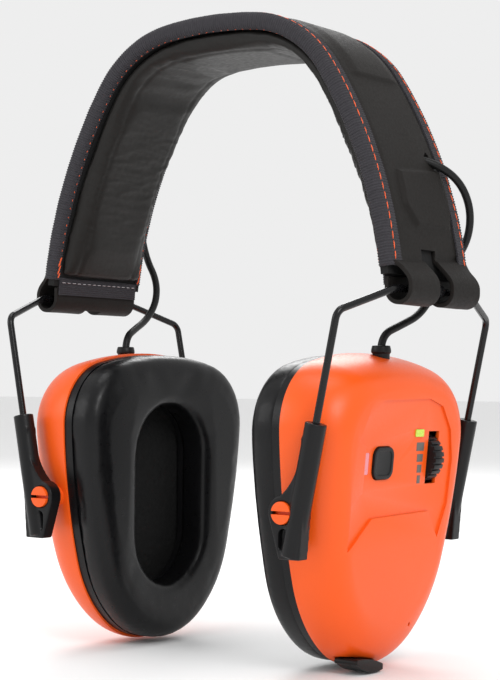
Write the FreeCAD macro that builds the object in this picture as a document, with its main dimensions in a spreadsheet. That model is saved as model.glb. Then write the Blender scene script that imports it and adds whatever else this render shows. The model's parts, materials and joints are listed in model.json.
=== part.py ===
"""Earmuff hearing protector with a folding wire-frame headband and electronic ear cups.

Millimetres, +Z up. The origin is the point midway between the two cup pivots, +X is the
cup with the controls (the right one) and -Y is the front.
"""
import FreeCAD, Part
import os
import re
from math import cos, hypot, pi, radians, sin, tan
import Sketcher
from FreeCAD import Placement, Rotation, Vector

doc = FreeCAD.newDocument("EarmuffHearingProtector")

# ---------------------------------------------------------------- driving sizes
SIZES = [
    # headband arch: three tangent arcs on each side, angles counted from straight up
    ("band_top", 168.7), ("crown_radius", 156.6), ("shoulder_radius", 44.5), ("side_radius", 162.7),
    ("crown_angle", 7.15), ("shoulder_angle", 56.6), ("side_angle", 83.5),
    ("band_width", 50.0), ("binding_thick", 0.7), ("binding_lap", 6.5), ("inner_lap", 3.2),
    ("layer_inset", 0.9), ("cover_thick", 1.5),
    ("foam_thick", 2.8), ("pad_thick", 6.0), ("pad_width", 40.0), ("spring_width", 12.0),
    ("spring_thick", 0.9), ("cable_dia", 2.7), ("cable_side", 12.0), ("cable_angle", 68.3),
    # folded end of the cover, and the hinge of the wire frame in it
    ("hinge_out", 0.372), ("hinge_drop", 5.08), ("loop_radius", 5.2), ("loop_width", 44.0),
    ("loop_slot", 8.8), ("wire_dia", 2.4), ("clip_width", 6.4),
    # wire legs and cup arms
    ("leg_lean", 12.0), ("arm_gap", 0.675), ("arm_top_x", 63.5), ("arm_top_z", 28.4),
    ("arm_length", 43.0), ("arm_dia", 7.0), ("wire_in_arm", 22.0), ("blade_thick", 5.0),
    # cup
    ("pivot_x", 52.3), ("pivot_dia", 7.2), ("eye_dia", 10.9), ("pin_proud", 0.8), ("pivot_gap", 0.05),
    ("seam_x", 47.0), ("shell_wall", 2.2), ("face_tilt", 5.5), ("face_x", 65.9),
    ("seal_depth", 3.4), ("cushion_face", 32.5), ("ear_width", 38.0), ("ear_height", 66.0),
    # controls
    ("button_width", 11.7), ("button_height", 10.5), ("wheel_dia", 17.0), ("wheel_width", 5.6),
    ("recess_depth", 0.9), ("egg_top", 51.3), ("egg_top_radius", 116.8),
    ("egg_corner_radius", 22.8), ("egg_side_radius", 202.2), ("egg_low_radius", 46.2),
    ("cushion_round", 5.0), ("speaker_dia", 32.0), ("gland_dia", 5.9), ("wheel_x", 61.3),
    ("board_x", 55.2), ("board_thick", 1.2), ("port_bead", 2.0),
]
sheet = doc.addObject("Spreadsheet::Sheet", "Sizes")
for row, (alias, number) in enumerate(SIZES, start=1):
    sheet.set(f"A{row}", alias)
    sheet.set(f"B{row}", str(number))
    sheet.setAlias(f"B{row}", alias)
doc.recompute()


def size(alias):
    return float(sheet.get(alias))


def ex(text):
    """Spreadsheet expression: every known alias in the text gets the sheet's name in front."""
    return re.sub("|".join(rf"\b{alias}\b" for alias, _ in SIZES), r"Sizes.\g<0>", text)


PARTS = []


def keep(obj, label):
    """Name the finished sub-part; the label is its file's name."""
    obj.Label = label
    PARTS.append(obj)
    return obj


# ---------------------------------------------------------------- PartDesign helpers
def new_body(name):
    return doc.addObject("PartDesign::Body", name)


def sketch_on(body, name, role, offset="0", tilt=0.0, shift=(0.0, 0.0)):
    """Sketch on one of the body's own origin planes, moved along its normal."""
    sketch = body.newObject("Sketcher::SketchObject", name)
    plane = [f for f in body.Origin.OriginFeatures if f.Role == role][0]
    sketch.AttachmentSupport = [(plane, "")]
    sketch.MapMode = "FlatFace"
    sketch.AttachmentOffset = Placement(Vector(shift[0], shift[1], 0), Rotation(Vector(1, 0, 0), tilt))
    sketch.setExpression("AttachmentOffset.Base.z", ex(offset))
    return sketch


def arc(centre, radius, start, end):
    """Counter-clockwise arc, angles in degrees."""
    circle = Part.Circle(Vector(centre[0], centre[1], 0), Vector(0, 0, 1), radius)
    return Part.ArcOfCircle(circle, radians(start), radians(end))


def fix(sketch, shapes):
    """Add worked-out geometry and hold it where the sizes put it."""
    for shape in shapes:
        index = sketch.addGeometry(shape, False)
        sketch.addConstraint(Sketcher.Constraint("Block", index))
    return sketch


def lines(points):
    ends = points[1:] + points[:1]
    return [Part.LineSegment(Vector(*a, 0), Vector(*b, 0)) for a, b in zip(points, ends)]


def circle(sketch, x, y, radius_text, radius):
    """Circle held by its centre, its radius bound to the sheet."""
    index = sketch.addGeometry(Part.Circle(Vector(x, y, 0), Vector(0, 0, 1), radius), False)
    sketch.addConstraint(Sketcher.Constraint("DistanceX", -1, 1, index, 3, x))
    sketch.addConstraint(Sketcher.Constraint("DistanceY", -1, 1, index, 3, y))
    number = sketch.addConstraint(Sketcher.Constraint("Radius", index, radius))
    sketch.setExpression(f"Constraints[{number}]", ex(radius_text))
    return sketch


def rounded(cx, cy, width, height, radius):
    """Rectangle with round corners; a stadium when the radius is half the width."""
    w, h, r = width / 2, height / 2, radius
    shapes = [arc((cx + w - r, cy + h - r), r, 0, 90), arc((cx - w + r, cy + h - r), r, 90, 180),
              arc((cx - w + r, cy - h + r), r, 180, 270), arc((cx + w - r, cy - h + r), r, 270, 360)]
    if w - r > 1e-6:
        shapes += [Part.LineSegment(Vector(cx - w + r, cy + h, 0), Vector(cx + w - r, cy + h, 0)),
                   Part.LineSegment(Vector(cx - w + r, cy - h, 0), Vector(cx + w - r, cy - h, 0))]
    shapes += [Part.LineSegment(Vector(cx + w, cy - h + r, 0), Vector(cx + w, cy + h - r, 0)),
               Part.LineSegment(Vector(cx - w, cy - h + r, 0), Vector(cx - w, cy + h - r, 0))]
    return shapes


def pad(body, sketch, length, backwards=False):
    feature = body.newObject("PartDesign::Pad", f"{sketch.Name}_pad")
    feature.Profile = sketch
    feature.Reversed = backwards
    feature.setExpression("Length", ex(length))
    doc.recompute()
    return feature


def pocket(body, sketch, length, backwards=False):
    """Cut along the sketch's normal turned round, or along it when backwards; must remove material."""
    before = body.Shape.Volume
    feature = body.newObject("PartDesign::Pocket", f"{sketch.Name}_pocket")
    feature.Profile = sketch
    feature.Reversed = backwards
    feature.setExpression("Length", ex(length))
    doc.recompute()
    if body.Shape.Volume > before - 0.01:
        raise RuntimeError(f"{sketch.Name} cut nothing")
    return feature


def loft(body, sketches, subtract=False):
    kind = "PartDesign::SubtractiveLoft" if subtract else "PartDesign::AdditiveLoft"
    feature = body.newObject(kind, f"{sketches[0].Name}_loft")
    feature.Profile = sketches[0]
    feature.Sections = sketches[1:]
    doc.recompute()
    return feature


def revolve(body, sketch, axis="V_Axis"):
    feature = body.newObject("PartDesign::Revolution", f"{sketch.Name}_turned")
    feature.Profile = sketch
    feature.ReferenceAxis = (sketch, [axis])
    feature.Angle = 360
    doc.recompute()
    return feature


def fillet(body, radius, test):
    """Round the tip's edges whose middle point passes the test."""
    edges, tip = [], body.Tip
    for number, edge in enumerate(tip.Shape.Edges, start=1):
        middle = edge.valueAt((edge.FirstParameter + edge.LastParameter) / 2)
        if test(middle):
            edges.append(f"Edge{number}")
    if not edges:
        raise RuntimeError(f"no edge to round on {body.Name}")
    feature = body.newObject("PartDesign::Fillet", f"{body.Name}_round")
    feature.Base = (tip, edges)
    feature.Radius = radius
    doc.recompute()
    if "Invalid" in feature.State or feature.Shape.isNull() or not feature.Shape.isValid():
        raise RuntimeError(f"rounding failed on {body.Name}")
    return feature


def mirrored(source, label, normal=(1, 0, 0)):
    """The same piece on the other side of the middle plane."""
    twin = doc.addObject("Part::Mirroring", label)
    twin.Source = source
    twin.Base = Vector(0, 0, 0)
    twin.Normal = Vector(*normal)
    doc.recompute()
    return keep(twin, label)


def both_sides(body, name):
    keep(body, f"right_{name}")
    return mirrored(body, f"left_{name}")


def boolean(kind, name, *shapes):
    feature = doc.addObject(f"Part::{kind}", name)
    if kind == "MultiFuse":
        feature.Shapes = list(shapes)
    else:
        feature.Base, feature.Tool = shapes
    doc.recompute()
    return feature


def cylinder(name, radius, height, base, direction):
    """Part::Cylinder; radius and height are expressions."""
    feature = doc.addObject("Part::Cylinder", name)
    feature.setExpression("Radius", ex(radius))
    feature.setExpression("Height", ex(height))
    feature.Placement = Placement(Vector(*base), Rotation(Vector(0, 0, 1), Vector(*direction)))
    doc.recompute()
    return feature


def rounded_path(points, radii=None):
    """Straight runs joined by tangent arcs. Without radii each arc is as large as its runs allow."""
    points = [Vector(*p) for p in points]
    edges, start, used = [], points[0], []
    for i in range(1, len(points) - 1):
        back, ahead = points[i - 1] - points[i], points[i + 1] - points[i]
        half_turn = (pi - back.getAngle(ahead)) / 2
        shorter = min(back.Length, ahead.Length)
        radius = 0.45 * shorter / tan(half_turn) if radii is None else radii[i - 1]
        used.append(round(radius, 1))
        cut = radius * tan(half_turn)
        back.normalize()
        ahead.normalize()
        first, last = points[i] + back * cut, points[i] + ahead * cut
        inward = (back + ahead).normalize()
        middle = points[i] + inward * (radius / cos(half_turn) - radius)
        edges += [Part.LineSegment(start, first).toShape(), Part.Arc(first, middle, last).toShape()]
        start = last
    edges.append(Part.LineSegment(start, points[-1]).toShape())
    return Part.Wire(edges), used


def tube(label, points, diameter, radii=None):
    """Round section swept along a rounded path, its volume compared with section times length."""
    wire, used = rounded_path(points, radii)
    direction = Vector(*points[1]) - Vector(*points[0])
    section = Part.Wire(Part.makeCircle(diameter / 2, Vector(*points[0]), direction))
    solid = wire.makePipeShell([section], True, False)
    expected = pi * (diameter / 2) ** 2 * wire.Length
    if abs(solid.Volume / expected - 1) > 0.01:
        raise RuntimeError(f"{label}: volume {solid.Volume:.1f}, expected {expected:.1f}")
    feature = doc.addObject("Part::Feature", label)
    feature.Shape = solid
    feature.Placement = Placement()
    print(f"{label}: length {wire.Length:.1f}, bend radii {used}")
    return feature


# ---------------------------------------------------------------- headband
CROWN, SHOULDER, SIDE = size("crown_angle"), size("shoulder_angle"), size("side_angle")


def arch_centres():
    """Centres of the crown, right shoulder and right side arcs in the XZ plane."""
    r0, r1, r2 = size("crown_radius"), size("shoulder_radius"), size("side_radius")
    crown = (0.0, size("band_top") - r0)
    shoulder = (crown[0] + (r0 - r1) * sin(radians(CROWN)), crown[1] + (r0 - r1) * cos(radians(CROWN)))
    side = (shoulder[0] + (r1 - r2) * sin(radians(SHOULDER)),
            shoulder[1] + (r1 - r2) * cos(radians(SHOULDER)))
    return crown, shoulder, side


def arch_point(angle, depth):
    """Point of the right half, at an angle from straight up and a depth under the outer outline."""
    crown, shoulder, side = arch_centres()
    if angle <= CROWN:
        centre, radius = crown, size("crown_radius")
    elif angle <= SHOULDER:
        centre, radius = shoulder, size("shoulder_radius")
    else:
        centre, radius = side, size("side_radius")
    a = radians(angle)
    return centre[0] + (radius - depth) * sin(a), centre[1] + (radius - depth) * cos(a)


def arch_outline(depth, thick, end=None):
    """Closed outline of a band that follows the arch, at a depth under the outer outline."""
    end = SIDE if end is None else end
    crown, shoulder, side = arch_centres()
    shapes = []
    for d in (depth, depth + thick):
        shapes.append(arc(crown, size("crown_radius") - d, 90 - CROWN, 90 + CROWN))
        for s in (1, -1):
            for centre, radius, a, b in ((shoulder, size("shoulder_radius"), CROWN, SHOULDER),
                                         (side, size("side_radius"), SHOULDER, end)):
                spot = (s * centre[0], centre[1])
                angles = (90 - b, 90 - a) if s > 0 else (90 + a, 90 + b)
                shapes.append(arc(spot, radius - d, *angles))
    for s in (1, -1):
        (x0, z0), (x1, z1) = arch_point(end, depth), arch_point(end, depth + thick)
        shapes.append(Part.LineSegment(Vector(s * x0, z0, 0), Vector(s * x1, z1, 0)))
    return shapes


def arch_body(name, depth, thick, half_width, end=None):
    """Band of one width along the arch. On the XZ plane a pad runs towards -Y."""
    body = new_body(name)
    sketch = fix(sketch_on(body, f"{name}_outline", "XZ_Plane", f"-( {half_width} )"),
                 arch_outline(depth, thick, end))
    pad(body, sketch, f"2 * ( {half_width} )")
    return body


BINDING, COVER, FOAM = size("binding_thick"), size("cover_thick"), size("foam_thick")
COVER_IN = BINDING + COVER                 # depth of the cover's inner face
FOAM_IN = COVER_IN + FOAM                  # depth of the foam's inner face
EDGE = FOAM_IN + BINDING                   # depth of the binding's inner face
TAPE_END = SIDE - 0.9                      # angle at which the edge tapes stop and the fold starts
END_X, END_Z = arch_point(SIDE, 0)
HX, HZ = END_X + size("hinge_out"), END_Z - size("hinge_drop")
LOOP_R = size("loop_radius")


def lead_end(side):
    """Where a lead enters the cover, and its direction there."""
    x, z = arch_point(size("cable_angle"), COVER_IN)
    return Vector(side * x, size("cable_side"), z), Vector(-side * 5.2, -3.0, 1.6).normalize()


def cover_end(side):
    """Profile of the folded end: down the outside, round the hinge wire and up the inside."""
    inner_r = LOOP_R - COVER
    top_out, top_in = arch_point(TAPE_END, BINDING), arch_point(TAPE_END, COVER_IN)
    low = HZ + 2.0
    outside = [(side * top_out[0], top_out[1]), (side * (HX + LOOP_R), low)]
    inside = [(side * top_in[0], top_in[1]), (side * (HX + inner_r), low)]
    tip_z = arch_point(SIDE, FOAM_IN)[1] + 0.3
    shapes = [Part.LineSegment(Vector(*outside[0], 0), Vector(*outside[1], 0)),
              Part.LineSegment(Vector(*outside[1], 0), Vector(side * (HX + LOOP_R), HZ, 0)),
              Part.LineSegment(Vector(*inside[0], 0), Vector(*inside[1], 0)),
              Part.LineSegment(Vector(*inside[1], 0), Vector(side * (HX + inner_r), HZ, 0)),
              Part.LineSegment(Vector(*outside[0], 0), Vector(*inside[0], 0)),
              arc((side * HX, HZ), LOOP_R, 180, 360), arc((side * HX, HZ), inner_r, 180, 360)]
    for radius in (LOOP_R, inner_r):
        x = side * (HX - radius)
        shapes.append(Part.LineSegment(Vector(x, HZ, 0), Vector(x, tip_z - 0.6, 0)))
    shapes.append(Part.LineSegment(Vector(side * (HX - LOOP_R), tip_z - 0.6, 0),
                                   Vector(side * (HX - inner_r), tip_z - 0.6, 0)))
    return shapes


def make_cover():
    """Fabric outer cover: the arch, both folded ends, their slots and the two cable holes."""
    body = arch_body("outer_cover", BINDING, COVER, "band_width / 2 - layer_inset")
    for side, word in ((1, "right"), (-1, "left")):
        sketch = fix(sketch_on(body, f"{word}_fold", "XZ_Plane", "-loop_width / 2"), cover_end(side))
        pad(body, sketch, "loop_width")
        slot = sketch_on(body, f"{word}_slot", "XZ_Plane", "-loop_slot / 2")
        fix(slot, lines([(side * (HX - 1.5), HZ - 8), (side * (HX + 9), HZ - 8),
                         (side * (HX + 9), HZ + 8.2), (side * (HX - 1.5), HZ + 8.2)]))
        pocket(body, slot, "loop_slot", backwards=True)
        start, inwards = lead_end(side)
        outside = start - inwards * 4
        hole = sketch_on(body, f"{word}_cable_hole", "XY_Plane", f"{outside.z}")
        hole.AttachmentOffset = Placement(outside, Rotation(Vector(0, 0, -1), inwards))
        circle(hole, 0, 0, "cable_dia / 2 + 0.25", size("cable_dia") / 2 + 0.25)
        pocket(body, hole, "8")
    return keep(body, "outer_cover")


def make_binding(name, front):
    """Tape folded round one edge: a strip with a channel cut for the layers that it holds."""
    body = new_body(name)
    start = "-( band_width / 2 )" if not front else "band_width / 2 - binding_lap"
    sketch = fix(sketch_on(body, f"{name}_strip", "XZ_Plane", start), arch_outline(0, EDGE, TAPE_END))
    pad(body, sketch, "binding_lap")
    channel_start = "-( band_width / 2 ) + binding_thick" if not front else "band_width / 2 - binding_lap"
    channel = fix(sketch_on(body, f"{name}_channel", "XZ_Plane", channel_start),
                  arch_outline(BINDING, EDGE - 2 * BINDING, SIDE + 0.5))
    pocket(body, channel, "binding_lap - binding_thick", backwards=True)
    lap_start = "-( band_width / 2 ) + inner_lap" if not front else "band_width / 2 - binding_lap"
    inner_lap = fix(sketch_on(body, f"{name}_short_lap", "XZ_Plane", lap_start),
                    arch_outline(EDGE - BINDING, BINDING + 0.5, SIDE + 0.5))
    pocket(body, inner_lap, "binding_lap - inner_lap", backwards=True)
    return keep(body, name)


def make_band():
    make_cover()
    cable_r = size("cable_dia") / 2
    # spring strip and cable lie in channels of the foam
    strip_depth = COVER_IN + 0.4
    end = SIDE - 1.2
    strip = arch_body("spring_strip", strip_depth, size("spring_thick"), "spring_width / 2", end)
    keep(strip, "spring_strip")
    foam = arch_body("band_foam", COVER_IN, FOAM, "band_width / 2 - layer_inset")
    room = fix(sketch_on(foam, "strip_channel", "XZ_Plane", "-spring_width / 2"),
               arch_outline(strip_depth, size("spring_thick"), SIDE + 0.5))
    pocket(foam, room, "spring_width", backwards=True)
    cable_depth = COVER_IN + cable_r + 0.05
    room = fix(sketch_on(foam, "cable_channel", "XZ_Plane", "-cable_side - cable_dia / 2"),
               arch_outline(COVER_IN, 2 * cable_r + 0.05, size("cable_angle") + 1.2))
    pocket(foam, room, "cable_dia", backwards=True)
    keep(foam, "band_foam")
    # padded lining: soft cover over foam
    lining = arch_body("inner_pad_foam", FOAM_IN + 0.6, size("pad_thick") - 1.2,
                       "pad_width / 2 - 0.6", SIDE - 1.6)
    outer = arch_body("inner_pad_form", FOAM_IN, size("pad_thick"), "pad_width / 2", SIDE - 1.2)
    keep(lining, "inner_pad_foam")
    keep(boolean("Cut", "inner_pad_cover", outer, lining), "inner_pad_cover")
    make_binding("front_binding", True)
    make_binding("rear_binding", False)
    # cable inside the band, in its channel
    stop = size("cable_angle")
    crown, shoulder, flank = arch_centres()
    spans = [(flank, "side_radius", 90 - stop, 90 - SHOULDER),
             (shoulder, "shoulder_radius", 90 - SHOULDER, 90 - CROWN),
             (crown, "crown_radius", 90 - CROWN, 90 + CROWN),
             ((-shoulder[0], shoulder[1]), "shoulder_radius", 90 + CROWN, 90 + SHOULDER),
             ((-flank[0], flank[1]), "side_radius", 90 + SHOULDER, 90 + stop)]
    edges = [arc(c, size(r) - cable_depth, a, b).toShape() for c, r, a, b in spans]
    wire = Part.Wire(edges)
    wire.Placement = Placement(Vector(0, size("cable_side"), 0), Rotation(Vector(1, 0, 0), 90))
    first = wire.OrderedEdges[0]
    section = Part.makeCircle(cable_r - 0.02, first.valueAt(first.FirstParameter),
                              first.tangentAt(first.FirstParameter))
    lead = doc.addObject("Part::Feature", "lead_in_band")
    lead.Shape = wire.makePipeShell([Part.Wire(section)], True, False)
    lead.Placement = Placement()
    keep(lead, "lead_in_band")
    print(f"lead_in_band: length {wire.Length:.1f}")


def make_end_tape():
    """Tape across the inside of the band's end, over the seam of lining and folded cover."""
    body = new_body("end_binding")
    low, high = HZ + 1.0, arch_point(SIDE - 1.2, FOAM_IN)[1] - 0.2
    x = HX - LOOP_R - 0.05
    sketch = fix(sketch_on(body, "end_tape", "XZ_Plane", "-( loop_width / 2 - 0.6 )"),
                 lines([(x - 0.8, low), (x, low), (x - 0.45, high), (x - 1.25, high)]))
    pad(body, sketch, "loop_width - 1.2")
    both_sides(body, "end_binding")


# ---------------------------------------------------------------- outline of the ear cups
EGG_ANGLES = (0.0, 13.3, 92.3, 106.3, 142.8, 180.0)
EGG_MIDDLE = 4.0                            # height about which the outline shrinks


def egg_arcs():
    """Centre and radius of the right half's arcs, from the top down; the last one closes it."""
    radii = [size("egg_top_radius"), size("egg_corner_radius"), size("egg_side_radius"),
             size("egg_low_radius")]
    y, z, found = 0.0, size("egg_top"), []
    for radius, a, b in zip(radii, EGG_ANGLES, EGG_ANGLES[1:]):
        a, b = radians(a), radians(b)
        centre = (y - radius * sin(a), z - radius * cos(a))
        found.append((centre, radius))
        y, z = centre[0] + radius * sin(b), centre[1] + radius * cos(b)
    last = radians(EGG_ANGLES[4])
    closing = y / sin(last)
    found.append(((0.0, z - closing * cos(last)), closing))
    return found


ARCS = egg_arcs()
CUP_SIDE = ARCS[1][0][0] + ARCS[1][1]       # half of the cup's width
CUP_LOW = ARCS[4][0][1] - ARCS[4][1]        # height of the cup's lowest point
LEG_SIDE = CUP_SIDE + size("arm_gap") + size("blade_thick") / 2
PIN_SIDE = LEG_SIDE + size("blade_thick") / 2 + size("pin_proud")


def egg(scale=1.0, inset=0.0):
    """Closed cup outline in the YZ plane: eight tangent arcs, widest above the middle."""
    shapes = []
    for number, ((cy, cz), radius) in enumerate(ARCS):
        spot = (cy * scale, EGG_MIDDLE + (cz - EGG_MIDDLE) * scale)
        radius = (radius - inset) * scale
        a, b = EGG_ANGLES[number], EGG_ANGLES[number + 1]
        if number == 0:
            shapes.append(arc(spot, radius, 90 - b, 90 + b))
        elif number == 4:
            shapes.append(arc((0.0, spot[1]), radius, 90 + a, 450 - a))
        else:
            shapes.append(arc(spot, radius, 90 - b, 90 - a))
            shapes.append(arc((-spot[0], spot[1]), radius, 90 + a, 90 + b))
    return shapes


# ---------------------------------------------------------------- hinge clips and wire frames
LEAN = radians(size("leg_lean"))
LEG = (sin(LEAN), 0.0, cos(LEAN))          # direction of a right wire leg, upwards
PIVOT = size("pivot_x")


def leg_x(z):
    """Distance from the middle to the right leg's axis at a height."""
    return size("arm_top_x") + (z - size("arm_top_z")) * tan(LEAN)


def make_clip():
    """Steel clip on the end of the spring strip: a strap that ends in a knuckle on the wire."""
    body = new_body("hinge_clip")
    depth = COVER_IN + 0.45
    thick = size("spring_thick") - 0.1
    strap = [arch_point(SIDE - 1.2, depth), arch_point(SIDE + 0.3, depth), (HX - 0.2, HZ + 2.4),
             (HX - 2.4, HZ - 0.2), arch_point(SIDE + 0.3, depth + thick),
             arch_point(SIDE - 1.2, depth + thick)]
    sketch = fix(sketch_on(body, "clip_strap", "XZ_Plane", "-clip_width / 2"), lines(strap))
    pad(body, sketch, "clip_width")
    knuckle = circle(sketch_on(body, "clip_knuckle", "XZ_Plane", "-clip_width / 2"),
                     HX, HZ, "wire_dia / 2 + 1.3", size("wire_dia") / 2 + 1.3)
    pad(body, knuckle, "clip_width")
    bore = circle(sketch_on(body, "clip_bore", "XZ_Plane", "-clip_width / 2"),
                  HX, HZ, "wire_dia / 2 + 0.05", size("wire_dia") / 2 + 0.05)
    pocket(body, bore, "clip_width", backwards=True)
    both_sides(body, "hinge_clip")


def make_wire_frame():
    """One bent wire: through the folded end, out to both sides and down into the two arms."""
    side, bend_z = LEG_SIDE, HZ - 8.0
    reach = size("wire_in_arm") * cos(LEAN)
    tip_z = size("arm_top_z") - reach
    points = [(leg_x(tip_z), -side, tip_z), (leg_x(bend_z), -side, bend_z), (HX, -23.5, HZ),
              (HX, 23.5, HZ), (leg_x(bend_z), side, bend_z), (leg_x(tip_z), side, tip_z)]
    both_sides(tube("wire_frame", points, size("wire_dia"), [4.0, 8.0, 8.0, 4.0]), "wire_frame")


# ---------------------------------------------------------------- cup arms
def blade_outline():
    """Flat of the arm: tail, edge along the tube, hollow curve down to the eye, eye."""
    eye, low = size("eye_dia") / 2, -14.6
    top_z = size("arm_top_z") - 4.5
    tail_right, tail_left = (leg_x(low) + 4.6, low), (PIVOT - 1.2, low)
    knee = (leg_x(-3.0) + 3.2, -3.0)
    top, top_left = (leg_x(top_z), top_z), (leg_x(top_z) - 3.2, top_z)
    above_eye = (PIVOT + eye * cos(radians(98)), eye * sin(radians(98)))
    beside_eye = (PIVOT + eye * cos(radians(196)), eye * sin(radians(196)))
    shapes = [Part.LineSegment(Vector(*a, 0), Vector(*b, 0)) for a, b in
              ((beside_eye, tail_left), (tail_left, tail_right), (tail_right, knee), (knee, top),
               (top, top_left))]
    shapes.append(Part.Arc(Vector(*top_left, 0), Vector(PIVOT + 5.3, 13.5, 0), Vector(*above_eye, 0)))
    shapes.append(arc((PIVOT, 0.0), eye, 98, 196))
    return shapes


def make_arms():
    """Front arm of the right cup: blade with an eye, and a tube for the wire. The rest mirror it."""
    body = new_body("arm_blade")
    outer_face = f"{LEG_SIDE} + blade_thick / 2"
    sketch = fix(sketch_on(body, "blade", "XZ_Plane", outer_face), blade_outline())
    pad(body, sketch, "blade_thick", backwards=True)
    eye = circle(sketch_on(body, "eye", "XZ_Plane", outer_face), PIVOT, 0.0,
                 "pivot_dia / 2 + pivot_gap", size("pivot_dia") / 2 + size("pivot_gap"))
    pocket(body, eye, "blade_thick")
    hollow = sketch_on(body, "tail_hollow", "XZ_Plane", outer_face)
    fix(hollow, rounded(PIVOT + 0.9, -8.6, 4.4, 7.2, 1.8))
    pocket(body, hollow, "2.4")
    side, low = LEG_SIDE, size("arm_top_z") - size("arm_length") * cos(LEAN)
    foot = (leg_x(low), -side, low)
    sleeve = cylinder("arm_sleeve", "arm_dia / 2", "arm_length", foot, LEG)
    bore_low = low + 3.0 * cos(LEAN)
    bore = cylinder("wire_bore", "wire_dia / 2 + 0.05", "arm_length", (leg_x(bore_low), -side, bore_low), LEG)
    whole = boolean("Cut", "bored_arm", boolean("Fuse", "arm_whole", body, sleeve), bore)
    eye_tool = cylinder("eye_tool", "pivot_dia / 2 + pivot_gap", "blade_thick + 3",
                        (PIVOT, -side - 4.0, 0), (0, 1, 0))
    front = boolean("Cut", "right_front_arm", whole, eye_tool)
    keep(front, "right_front_arm")
    rear = mirrored(front, "right_rear_arm", (0, 1, 0))
    mirrored(front, "left_front_arm")
    mirrored(rear, "left_rear_arm")


# ---------------------------------------------------------------- ear cups
# distance of a section from the face plane, its tilt as a share of the face's, and its scale
SHELL_SECTIONS = ((18.9, 0.0, 1.0), (13.4, 0.15, 0.992), (8.2, 0.36, 0.962), (4.2, 0.62, 0.912),
                  (1.3, 0.86, 0.84), (0.0, 1.0, 0.745))
WALL_SCALE = size("shell_wall") / 43.0
PIN_ROOT = 3.225                            # how far a pin reaches into the cup's side


def on_face(body, name, lift):
    """Sketch parallel to the cup's tilted outer face, lifted off it along its normal."""
    tilt = radians(size("face_tilt"))
    return sketch_on(body, name, "YZ_Plane", f"face_x + {lift * cos(tilt):.5f}", size("face_tilt"),
                     (0.0, -lift * sin(tilt)))


def recess_outline():
    """Sunk panel of the face: arched top, a step for the window, and a low V-shaped end."""
    points = [(-17.4, 35.6), (12.0, 36.2), (21.0, 33.6), (27.5, 25.5), (30.0, 15.0), (29.2, 0.0),
              (24.4, -11.8), (17.0, -2.3), (-18.4, -3.0), (-30.6, -13.2), (-31.2, 1.9),
              (-25.2, 5.7), (-25.4, 21.0), (-29.6, 22.5), (-25.5, 30.0)]
    return lines(points)


BUTTON, WINDOW, LAMP, SLOT, SLOT_Z = (-13.7, 15.0), (-23.0, 15.0), (8.2, 24.5), 17.8, 16.0
MIC = (11.5, CUP_LOW + 13.647)
GLAND_X = 57.0
PORT_FRONT, PORT_REAR = -16.1, -1.2         # hinge line and far end of the rubber cover
PORT_MIDDLE = (PORT_FRONT + PORT_REAR) / 2


def port_edge(y):
    """Height of the cup's low edge beside the charging port."""
    return CUP_LOW + 0.947 - 0.1875 * (y + 8.5) + 0.01285 * (y + 8.5) ** 2


PORT_HINGE = (PORT_FRONT, port_edge(PORT_FRONT) + 0.6)


def make_shell(name, controls):
    body = new_body(name)
    for inside in (False, True):
        sketches = []
        for number, (gap, share, scale) in enumerate(SHELL_SECTIONS):
            if inside:
                scale -= WALL_SCALE
                gap = gap + 1.0 if number == 0 else gap + size("shell_wall")
            word = "hollow" if inside else "outer"
            sketch = sketch_on(body, f"{name}_{word}_{number}", "YZ_Plane", f"face_x - {gap}",
                               share * size("face_tilt"))
            sketches.append(fix(sketch, egg(scale)))
        doc.recompute()
        loft(body, sketches, subtract=inside)
    for y_sign, word in ((1, "front"), (-1, "rear")):
        boss = circle(sketch_on(body, f"{name}_{word}_pin", "XZ_Plane", f"{y_sign * PIN_SIDE}"),
                      PIVOT, 0.0, "pivot_dia / 2", size("pivot_dia") / 2)
        pad(body, boss, f"{PIN_SIDE - CUP_SIDE + PIN_ROOT}", backwards=y_sign > 0)
        split = fix(sketch_on(body, f"{name}_{word}_split", "XZ_Plane", f"{y_sign * PIN_SIDE}"),
                    lines([(PIVOT - 5, -0.55), (PIVOT + 5, -0.55), (PIVOT + 5, 0.55), (PIVOT - 5, 0.55)]))
        pocket(body, split, "2.6", backwards=y_sign < 0)
    gland = circle(sketch_on(body, f"{name}_gland_hole", "XY_Plane", "egg_top + 8.7"),
                   GLAND_X, 0.0, "gland_dia / 2 + 0.1", size("gland_dia") / 2 + 0.1)
    pocket(body, gland, "16")
    panel = fix(on_face(body, f"{name}_panel", 0), recess_outline())
    pocket(body, panel, "recess_depth")
    mic = circle(sketch_on(body, f"{name}_mic_hole", "YZ_Plane", "72"), MIC[0], MIC[1], "0.7", 0.7)
    pocket(body, mic, "16")
    if controls:
        w, high = size("button_width") + 0.6, size("button_height") + 0.6
        openings = (("button", rounded(*BUTTON, w, high, 3.4)), ("window", rounded(*WINDOW, 2.6, 7.2, 0.6)),
                    ("lamp", rounded(*LAMP, 5.3, 2.6, 0.5)),
                    ("slot", lines([(SLOT - 3.4, SLOT_Z - 9), (SLOT + 3.4, SLOT_Z - 9),
                                    (SLOT + 3.4, SLOT_Z + 9), (SLOT - 3.4, SLOT_Z + 9)])))
        for word, outline in openings:
            pocket(body, fix(on_face(body, f"{name}_{word}_opening", 0), outline), "5")
        port = fix(sketch_on(body, f"{name}_port_opening", "YZ_Plane", "50.2"), port_outline(0.5))
        pocket(body, port, "9.6", backwards=True)
    return body


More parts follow.
